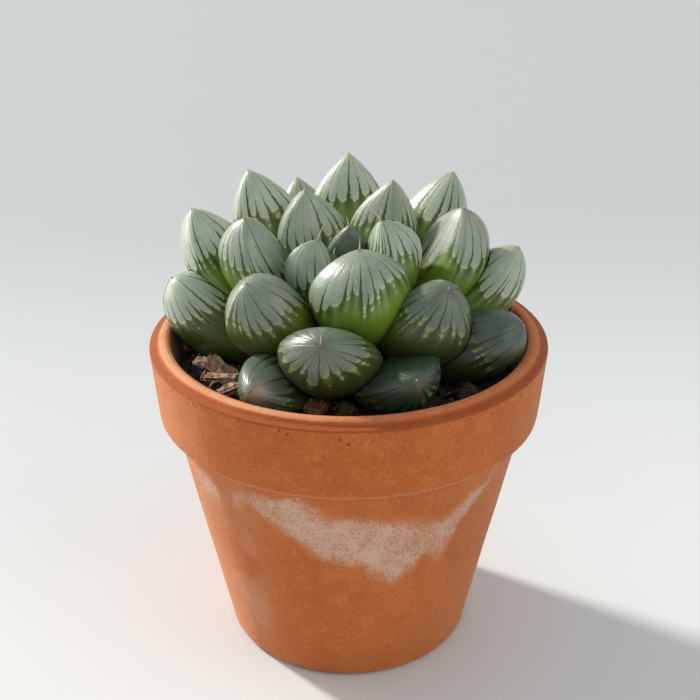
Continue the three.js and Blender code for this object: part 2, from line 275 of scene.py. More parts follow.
lip_arc = [(36.6 + 0.8 * math.cos(a), 66.4 + 0.8 * math.sin(a)) for a in (1.9, 2.3, 2.7, 3.1)]
pot_outline = [(4.5, 0), (14, 0), (24.75, 0), (25.85, 0.9), (27.9, 11), (30, 21.4), (32, 31)]
pot_outline += [(34, 41), (36.1, 50.7), (36.6, 51.3), (38.4, 51.3), (38.8, 51.75), (39.2, 56)]
pot_outline += [(39.6, 61), (40, 65.8), (39.85, 66.1), (38.75, 66.25), (38.4, 66.45), (38.1, 66.95)]
pot_outline += [(37.5, 67.2), (36.9, 67.2)] + lip_arc + [(35.2, 63.5), (33.4, 54), (32.8, 49.3)]
pot_outline += [(28, 30), (22.65, 8), (20.05, 5), (10, 5), (4.5, 5), (4.5, 0)]
pot = turned("clay_pot", pot_outline, 256)
rounding = {"limit_method": "ANGLE", "angle_limit": math.radians(30), "width": 0.2 * mm, "segments": 3}
use_modifier(pot, "BEVEL", rounding)
move_points(pot, settle)
smooth(pot, 40)

terracotta, pen, place = new_material("terracotta")
# Height and radius are in millimetres, and the turn is in degrees from the front.
across_x, depth_y, height = place.split()
height = height * 1000
radius = (across_x * across_x + depth_y * depth_y).root() * 1000
turn = pen.math("ARCTAN2", across_x, 0 - depth_y) * (180 / math.pi)

cloud = pen.grain(place, 45, 4, 0.55)
mottle = pen.grain(place, 260, 4, 0.6)
sand = pen.grain(place, 1700, 3, 0.6)
clay = cloud.step(0.3, 0.7).mix((0.50, 0.118, 0.023), (0.58, 0.152, 0.032))
clay = (mottle.step(0.42, 0.68) * 0.45).mix(clay, (0.64, 0.19, 0.05))
clay = (sand.step(0.55, 0.75) * 0.4).mix(clay, (0.74, 0.29, 0.10))
clay = (sand.step(0.47, 0.32) * 0.5).mix(clay, (0.30, 0.065, 0.018))
freckle = pen.grain(place, 3400, 2, 0.6)
clay = (freckle.step(0.56, 0.68) * 0.28).mix(clay, (0.25, 0.055, 0.02))

cells = pen.add("TexVoronoi", None, {"Vector": place, "Scale": 190.0})
chance = Shade(pen.tree, cells.socket.node.outputs["Color"]).split()[0]
pits = (cells + (sand - 0.5) * 0.05).step(0.075, 0.045) * (chance + cloud * 0.8).step(1.3, 1.34)
mm_per_degree = 0.69  # round the collar
# Larger pits there, each by its turn, its height and its radius.
for round_by, up_to, size in (
    (-47.6, 64.6, 0.22), (-44.7, 65.2, 0.2), (-43.6, 64.9, 0.26), (-39.8, 65.1, 0.18), (-55.4, 65.2, 0.2),
    (-41.6, 64.9, 0.14), (-17.6, 65.3, 0.24), (-15.6, 64.7, 0.2), (-2.4, 64.4, 0.24), (56.8, 65.2, 0.2),
    (52.5, 64.9, 0.22), (40.6, 64.3, 0.26), (32.7, 65.1, 0.2), (24, 57, 0.16), (-31, 60, 0.15),
):
    aside, above = (turn - round_by) * mm_per_degree, height - up_to
    far = (aside * aside + above * above).root() + (sand - 0.5) * 0.25
    pits = pits.most(far.step(size + 0.08, size - 0.06) * radius.step(36, 38))
clay = (pits * 0.8).mix(clay, (0.13, 0.045, 0.02))

# Worn edges, a painted shadow on the ledge outside the lip, a crown paler from wear and from
# painted light, and the pot's darker inside.
collar_foot = abs(height - 51.6).step(0.42, 0.1) * radius.step(38.2, 38.6)
lip_edge = abs(height - 66.1).step(0.4, 0.1) * radius.step(39.3, 39.8)
worn = (collar_foot * 0.7 + lip_edge * 0.1) * (pen.grain(place, 240, 3) * 0.6 + 0.3)
clay = (worn * 0.45).mix(clay, (0.72, 0.42, 0.27))
# Painted shadow: the ledge outside the lip is painted dark where the raised crown would shade it.
painted_ledge_shadow = radius.step(38.1, 38.5) * height.step(65.55, 65.85)
clay = (painted_ledge_shadow * 0.68).mix(clay, (0.30, 0.06, 0.015))
# The crown is paler from wear, and paler still towards the left as painted light, where the light falls on
# it.
crown_wear_and_light = radius.step(36.5, 36.9) * radius.step(38.25, 37.9) * height.step(66.4, 66.8)
crown_wear_and_light = crown_wear_and_light * (turn.step(8, -30) * 0.75 + 0.25)
clay = (crown_wear_and_light * (0.35 + mottle * 0.5)).mix(clay, (0.80, 0.44, 0.25))
# The inside wall above the soil is painted darker.
dark_inner_wall = radius.step(36.1, 35.5) * height.step(55, 57) * (0.62 + cloud * 0.35)
clay = dark_inner_wall.mix(clay, (0.075, 0.032, 0.016))

# The bloom's upper and lower edge round the front, from 70 degrees left to 70 degrees right.
upper = [(0, 46.5), (0.2, 46), (0.37, 48.6), (0.45, 45.6), (0.56, 44.6), (0.64, 41.8), (0.73, 41.5)]
upper += [(0.8, 44.5), (0.88, 47.5), (1, 48)]
lower = [(0, 38), (0.17, 40), (0.27, 43.5), (0.37, 36.8), (0.44, 33.2), (0.53, 31.4), (0.57, 28.5)]
lower += [(0.62, 27), (0.66, 28.8), (0.69, 31.5), (0.77, 33.6), (0.82, 40), (0.88, 45.5), (1, 47)]
sweep = (turn + 70) / 140 + (pen.grain(place, 120, 3) - 0.5) * 0.04
edges = []
for line in (upper, lower):
    stops = [(share, opaque([up_to / 100] * 3)) for share, up_to in line]
    edges.append(pen.add("ValToRGB", {"stops": stops}, {0: sweep}) * 100)
level = height + (pen.grain(place, 150, 4, 0.6) - 0.5) * 5
band = (edges[0] + 2.0 - level).step(0.0, 4.5) * (level - edges[1] + 1.8).step(0.0, 5.5)
gap = abs(turn + 43).step(1.5, 5.0)
band = band * abs(turn).step(66, 52) * (0.25 + gap * 0.75) * radius.step(29, 30)
crust = pen.grain(place, 2300, 3, 0.75)
salt = (band + (crust - 0.5) * 3.4 + (mottle - 0.5) * 1.6 + (cloud - 0.5) * 1.2).step(0.35, 1.6)
salt = salt * band.step(0.0, 0.55)
haze = band * 0.2
faint = abs(turn - 33).step(6, 0) * abs(height - 34).step(5.5, 0)
salt = salt.most(faint * (mottle + crust - 0.35).step(0.35, 0.9) * 0.8)
clay = (salt * 0.84 + haze * (1 - salt)).mix(clay, (0.70, 0.545, 0.42))
grey_run = abs(turn + 42).step(15, 3) * height.step(50, 40) * height.step(2, 14)
clay = (grey_run * cloud.step(0.4, 0.6) * 0.25).mix(clay, (0.62, 0.42, 0.34))

rings = pen.add("VectorMath", {"operation": "MULTIPLY"}, {0: place, 1: (25.0, 25.0, 900.0)})
turning = pen.grain(rings, 1.0, 2)
relief = sand * 0.8 + freckle * 0.4 + mottle * 0.35 + turning * 0.22 + salt * crust * 0.6 - pits * 1.6
dusty = {"Specular IOR Level": 0.22, "Sheen Weight": 0.32, "Sheen Roughness": 0.4}
dusty["Sheen Tint"] = (1.0, 0.80, 0.58, 1)
surface(pen, clay, 0.8 + mottle * 0.12, relief, 0.7, 0.00025, dusty)
hand_over(pot, "terracotta", terracotta, "pot")

# ---------------------------------------------------------------- soil
# The pot's filling, a dark mix of rotted bark and grit with a crumbly, hollowed surface. It is
# pressed in by hand round the root, which stands in it in a plain hole.
SOIL_TOP = 61
SOIL_RADIUS = 34.2
CROWN = (0, 1, 62.5)  # where the lowest leaves leave the stem, in millimetres
LEAN = math.radians(8)  # of the plant, to the front


def soil_height(x, y):
    """Height of the soil's surface in millimetres: heaped a little at the stem."""
    crumbs = math.sin(0.83 * x + 1.1) * math.cos(0.71 * y - 0.4)
    crumbs += 0.6 * math.sin(1.57 * x - 1.9 * y + 2.3) + 0.4 * math.cos(2.3 * x + 1.3 * y)
    return SOIL_TOP + 1.2 * math.exp(-(x * x + y * y) / 500) + 0.45 * crumbs


def roughen(point):
    """Gives the top its heap, its hollows and its crumbs, and leaves the rest as it is."""
    x, y, z = point
    if z < 60.9:
        return point
    spot = Vector((x, y, 0))
    inside = min(1, max(0, (34.3 - math.hypot(x, y)) / 1.5))
    lumps = noise.fractal(spot * 0.9, 1.0, 2.0, 3) * 0.55 + abs(noise.noise(spot * 2.3)) * 0.5
    return x, y, SOIL_TOP + inside * (soil_height(x, y) - SOIL_TOP + lumps - 0.25)


def close_ends(piece):
    """Puts a face over each open end of a turned piece."""
    bpy.context.view_layer.objects.active = piece
    bpy.ops.object.mode_set(mode="EDIT")
    bpy.ops.mesh.select_all(action="DESELECT")
    bpy.ops.mesh.select_non_manifold()
    bpy.ops.mesh.fill_holes(sides=0)
    bpy.ops.mesh.select_all(action="SELECT")
    bpy.ops.mesh.normals_make_consistent(inside=False)
    bpy.ops.object.mode_set(mode="OBJECT")


soil_outline = [(0.4, 5.3), (10, 5.3), (19.6, 5.3), (22.2, 8), (32.3, 49.3), (SOIL_RADIUS, SOIL_TOP)]
soil_outline += [(SOIL_RADIUS - 0.55 * step, SOIL_TOP) for step in range(1, 61)] + [(0.4, SOIL_TOP)]
soil = turned("soil_filling", soil_outline, 200)
close_ends(soil)
move_points(soil, roughen)
lean = Euler((LEAN, 0, 0))
crown = Vector(CROWN) * mm
bpy.ops.mesh.primitive_cone_add(
    vertices=48, radius1=4.4 * mm, radius2=6.6 * mm, depth=40 * mm,
    location=crown - Vector((0, 0, 12 * mm)), rotation=lean
)
root_hole = bpy.context.object
use_modifier(soil, "BOOLEAN", {"object": root_hole, "operation": "DIFFERENCE", "solver": "MANIFOLD"})
bpy.data.objects.remove(root_hole)
smooth(soil, 50)

soil_mix, pen, place = new_material("soil_mix")
fibre = pen.grain(place, 900, 5, 0.7)
crumb = pen.grain(place, 330, 3, 0.6)
earth = fibre.mix((0.007, 0.005, 0.004), (0.05, 0.03, 0.019))
earth = (crumb.step(0.56, 0.68) * 0.6).mix(earth, (0.10, 0.056, 0.034))
surface(pen, earth, 0.85 + crumb * 0.12, fibre + crumb, 0.8, 0.0006)
hand_over(soil, "soil", soil_mix, "soil")

# ---------------------------------------------------------------- loose bits on the soil
# Torn bark chips, white perlite and rounded grit that lie half sunk in the surface. Bark is split
# along its grain, perlite is blown volcanic glass, and the grit is river gravel.


def lump(name, where, size, spin, tilt, lift, seed, grain, knock, fine):
    """A block or ball cut to size, knocked about and laid in the soil. grain stretches the knocks."""
    x, y = where
    if grain:
        bpy.ops.mesh.primitive_cube_add(size=2)
        bpy.ops.object.mode_set(mode="EDIT")
        bpy.ops.mesh.subdivide(number_cuts=11)
        bpy.ops.object.mode_set(mode="OBJECT")
    else:
        bpy.ops.mesh.primitive_ico_sphere_add(subdivisions=5, radius=1)
    piece = bpy.context.object
    piece.name = name
    shift = Vector((seed * 3.7, seed * 1.9, seed * 7.1))
    turned_to = Euler((0, math.radians(tilt), math.radians(spin))).to_matrix()
    for vertex in piece.data.vertices:
        spot = vertex.co.copy()
        if grain:
            spot *= 1 - 0.16 * (spot.length - 1)
            torn = Vector((spot.x * 1.2, spot.y * 3.5, spot.z * 3.5))
        else:
            torn = spot * 1.4
        push = 1 + knock * noise.noise(torn + shift) + fine * noise.fractal(torn * 3.5 - shift, 1, 2, 3)
        spot = Vector((spot.x * (1 + 0.5 * (push - 1)), spot.y * push, spot.z * push))
        spot = Vector((spot.x * size[0], spot.y * size[1], spot.z * size[2])) / 2
        vertex.co = (turned_to @ spot + Vector((x, y, soil_height(x, y) + lift))) * mm
    smooth(piece, 35 if grain else 60)
    return piece


bark, pen, place = new_material("bark")
along_grain = pen.add("Mapping", None, {0: place, 2: (0.3, 0.2, 0.6), 3: (1400, 350, 1400)})
strands = pen.grain(along_grain, 1, 4, 0.6)
patch = pen.grain(place, 500, 3)
wood = strands.step(0.3, 0.7).mix((0.20, 0.085, 0.05), (0.58, 0.36, 0.25))
wood = patch.step(0.55, 0.7).mix(wood, (0.70, 0.53, 0.41))
surface(pen, wood, 0.75 + patch * 0.2, strands, 0.7, 0.0003)

perlite, pen, place = new_material("perlite")
foam = pen.add("TexVoronoi", None, {"Vector": place, "Scale": 1500.0})
stain = pen.grain(place, 400, 3)
glass = stain.step(0.4, 0.7).mix((0.88, 0.81, 0.70), (0.55, 0.40, 0.28))
surface(pen, glass, 0.85 + stain * 0.1, foam, 0.6, 0.0003, {"Specular IOR Level": 0.1})

stones = {}
for kind, hollow, raised in (
    ("red_grit", (0.09, 0.04, 0.02), (0.27, 0.135, 0.075)),
    ("dark_grit", (0.012, 0.010, 0.005), (0.06, 0.047, 0.026)),
):
    stones[kind], pen, place = new_material(kind)
    vein = pen.grain(place, 260, 4, 0.6)
    speck = pen.grain(place, 2200, 2)
    stone = (vein * 0.6 + speck * 0.4).step(0.42, 0.6).mix(hollow, raised)
    stone = (speck.step(0.6, 0.72) * 0.5).mix(stone, (0.24, 0.19, 0.14))
    surface(pen, stone, 0.85 + vein * 0.1, vein + speck, 0.9, 0.0004, {"Specular IOR Level": 0.15})

# Whether the bit is split along a grain, and how much it was knocked about, coarsely and finely.
KNOCKS = {"bark": (True, 0.6, 0.2), "perlite": (False, 0.45, 0.3), "grit": (False, 0.32, 0.12)}
# Each row gives the name, the place, the length, width and height in millimetres, the turn and the
# tilt in degrees, how high the middle lies over the soil, the material and the slot.
BITS = [
    ["bark_chip_large", (-25.2, -9.2), (7.6, 3.6, 1.7), -38, 24, 1.5, bark, "bark"],
    ["bark_chip_long", (-24.8, -13.2), (6.6, 1.9, 1.3), -22, -8, 0.9, bark, "bark"],
    ["bark_chip_edge", (-22.6, -18.4), (4.4, 2.2, 1.5), 25, -12, 0.9, bark, "bark"],
    ["bark_chip_side", (-32.2, 3.2), (5, 2.2, 1.7), 70, 8, 0.9, bark, "bark"],
    ["perlite_side", (-29.6, -4.8), (3.4, 2.2, 2.2), 35, 5, 1.1, perlite, "perlite"],
    ["pebble_front", (-6.2, -25.4), (4.8, 3.8, 3.4), 10, 0, 1.4, stones["red_grit"], "grit"],
    ["pebble_front_dark", (-0.6, -26.2), (5, 4.2, 3.2), 40, 0, 1.2, stones["dark_grit"], "grit"],
    ["pebble_right", (22.2, -18.6), (5.2, 4.4, 3.4), -20, 0, 1.3, stones["dark_grit"], "grit"],
    ["pebble_back", (30.5, 14.5), (4.4, 3.6, 3.2), 30, 0, 1.2, stones["red_grit"], "grit"],
    ["perlite_back", (-8, 32.8), (3.2, 2.8, 2.6), 50, 0, 1.1, perlite, "perlite"],
]
bits = []
for seed, (name, where, size, spin, tilt, lift, stuff, slot) in enumerate(BITS):
    bit = lump(name + "_piece", where, size, spin, tilt, lift, seed + 1, *KNOCKS[slot])
    hand_over(bit, slot, stuff, name)
    bits.append(bit)

# ---------------------------------------------------------------- stem
# A short, woody stem that leans to the front and carries the leaves, on a root that tapers down
# into the soil. Old leaves have left rings of scars on it.
stem_outline = [(0.3, -30), (1.4, -30), (2.4, -25), (3.2, -21), (4, -16), (4.6, -12), (6.2, -6)]
stem_outline += [(6.2, -4), (6.2, -2.5), (5.9, -1.2), (5.4, 0), (4.6, 2.2), (3.6, 4.6), (2.3, 7.2)]
stem_outline += [(1.5, 8.6), (0.9, 9.6), (0.2, 9.6)]
stem = turned("stem_and_root", stem_outline, 64)
close_ends(stem)
stem.data.transform(lean.to_matrix().to_4x4())
stem.data.transform(Matrix.Translation(crown))
smooth(stem, 60)
stem_skin, pen, place = new_material("stem_skin")
scars = pen.grain(pen.add("Mapping", None, {0: place, 3: (120, 120, 1300)}), 1, 3)
skin = scars.step(0.35, 0.65).mix((0.16, 0.11, 0.05), (0.38, 0.31, 0.15))
surface(pen, skin, 0.6 + scars * 0.2, scars, 0.7, 0.0004)
hand_over(stem, "stem", stem_skin, "stem")

# ---------------------------------------------------------------- leaves
# Plump, watery leaves in whorls round the stem, each one pressed against those further in. The skin
# is clear towards the nose, like frosted glass, and dark green veins run through it to the tip.


class Leaf:
    """The form of one leaf, in millimetres. Its shares run from 0 at the base to 1 at the tip."""

    def __init__(
        self, number, name, tip, width, depth, curl, roll, foot, blunt, looks, hair, veins=(), sills=()
    ):
        self.number, self.name, self.width, self.depth, self.blunt = number, name, width, depth, blunt
        self.looks, self.hair, self.tip = looks, hair, np.array(tip, float)
        upright = np.array([0, -math.sin(LEAN), math.cos(LEAN)])
        heart = np.array(CROWN)
        outward = self.tip - heart
        outward -= upright * outward.dot(upright)
        outward /= np.linalg.norm(outward)
        self.base = heart + outward * foot[0] + upright * foot[1]
        self.along = self.tip - self.base
        chord = np.linalg.norm(self.along)
        self.along /= chord
        face = upright - self.along * upright.dot(self.along)
        face /= np.linalg.norm(face)
        roll = math.radians(roll)
        self.face = face * math.cos(roll) + np.cross(self.along, face) * math.sin(roll)
        self.across = np.cross(self.along, self.face)
        self.turn = math.radians(curl)
        self.radius = chord / 2 / math.sin(self.turn / 2)
        self.sills = sorted((place % 4, edge) for place, edge in sills or [(0, 0.74), (2, 0.66)])
        self.draw_veins(veins)

    def draw_veins(self, known):
        """Fills the room between the veins that are known with others, most of them short."""
        draw = random.Random(self.number)
        usual = [(2, 1), (0, 1), (-0.5, 0.92), (0.6, 0.94), (1.5, 0.9), (-1.4, 0.93)]
        veins = sorted((place % 4, top) for place, top in known or usual)
        for (here, _), (following, _) in list(zip(veins, veins[1:] + [(veins[0][0] + 4, 0)])):
            extra = round((following - here) / 0.2) - 1
            for count in range(1, extra + 1):
                place = here + (following - here) * (count + draw.uniform(-0.24, 0.24)) / (extra + 1)
                reach = draw.choice((0.0, 0.02, 0.05, 0.07, 0.1, 0.17))
                if following - here > 1.2:
                    reach *= 1.9
                veins.append((place % 4, min(1, self.sill(place) + reach)))
        self.seam = min(veins, key=lambda vein: abs(vein[0] - 2))[0]
        veins = sorted(((place - self.seam) % 4, top) for place, top in veins)
        self.places = np.array([place for place, _ in veins] + [4])
        self.tops = np.array([top for _, top in veins])

    def sill(self, place):
        """Share where the clear part of the skin begins, at a place round the leaf."""
        return np.interp(place, [p for p, _ in self.sills], [e for _, e in self.sills], period=4)

    def strand(self, place):
        """Number of the vein at a place round the leaf, with fractions between the veins."""
        spot = place - self.seam
        numbers = np.interp(spot % 4, self.places, range(len(self.places)))
        return numbers + len(self.tops) * np.floor(spot / 4)

    def shares(self, share):
        """Shares of the full width, back and face at a share of the length."""
        swell = np.sin(np.clip(share / 0.6, 0, 1) * math.pi / 2) ** 1.3
        t = np.clip((share - 0.6) / 0.4, 0, 1)
        blunt = self.blunt
        noses = [
            (1 - t ** (1.75 + 0.45 * blunt)) ** (1 - 0.32 * blunt),
            (1 - t**2.3) ** 0.62,
            (1 - t ** (2.2 + 0.8 * blunt)) ** (0.7 - 0.15 * blunt),
        ]
        feet = (0.4, 0.4, 0.3)
        return [np.where(share < 0.6, f + (1 - f) * swell, n) for f, n in zip(feet, noses)]

    def skin(self, share, around, grow=0.0):
        """Points of the skin at shares of the length and angles round the section."""
        angle = self.turn * (share - 0.5)
        reach = self.radius * (math.sin(self.turn / 2) + np.sin(angle)) + 2 * grow * (share - 0.5)
        sag = self.radius * (np.cos(angle) - math.cos(self.turn / 2))
        wide, back, face = self.shares(share)
        keel = 0.075 * np.clip(1 - abs(np.cos(around)) / 0.55, 0, 1) ** 1.5
        keel = 1 + keel * np.clip((share - 0.5) / 0.35, 0, 1)
        back = (self.depth[0] * back * keel + grow) * abs(np.sin(around)) ** 1.1
        face = (self.depth[1] * face + grow) * abs(np.sin(around)) ** 1.2
        height = np.where(np.sin(around) > 0, face, -back)
        half = 0.5 * self.width * wide + grow
        points = self.base + np.outer(reach - np.sin(angle) * height, self.along)
        points += np.outer(np.cos(angle) * height - sag, self.face)
        return points + np.outer(half * np.cos(around), self.across)

    def swelling(self, share, around):
        """How far the skin stands out: a little between the veins, and unevenly all over."""
        side = np.arcsin(np.clip(np.cos(around), -1, 1)) * 2 / math.pi
        place = np.where(np.sin(around) < 0, side, np.where(side < 0, -2 - side, 2 - side))
        between = np.sin(math.pi * self.strand(place)) ** 2
        clear = np.clip((share - self.sill(place) + 0.05) / 0.12, 0, 1) * np.clip((1 - share) / 0.08, 0, 1)
        drift = np.sin(3.1 * place + 2.3 * self.number) * np.sin(8 * share + self.number)
        drift += 0.6 * np.sin(2 * math.pi * place + 13 * share + 1.7 * self.number)
        return 0.025 * between * clear + 0.05 * drift * np.clip((1 - share) / 0.2, 0, 1)

    def fleshy(self, share, around):
        """The finished skin, with its points closer together towards the tip."""
        share = 1 - (1 - share) ** 1.5
        return self.skin(share, around, self.swelling(share, around))

    def kept_free(self, share, around):
        """The room that the leaf takes, a hair wider than its skin."""
        return self.skin(1 - (1 - share) ** 1.5, around, 0.2)

    def where(self, points):
        """Share of the length, place across from -1 to 1, and height over the middle of points."""
        centre = self.base + self.radius * (
            math.sin(self.turn / 2) * self.along + math.cos(self.turn / 2) * self.face
        )
        reach, rise, side = ((points - centre) @ way for way in (self.along, self.face, self.across))
        share = np.arctan2(reach, -rise) / self.turn + 0.5
        half = 0.5 * self.width * self.shares(np.clip(share, 0, 1))[0]
        return share, side / np.maximum(half, 1e-3), self.radius - np.hypot(reach, rise)
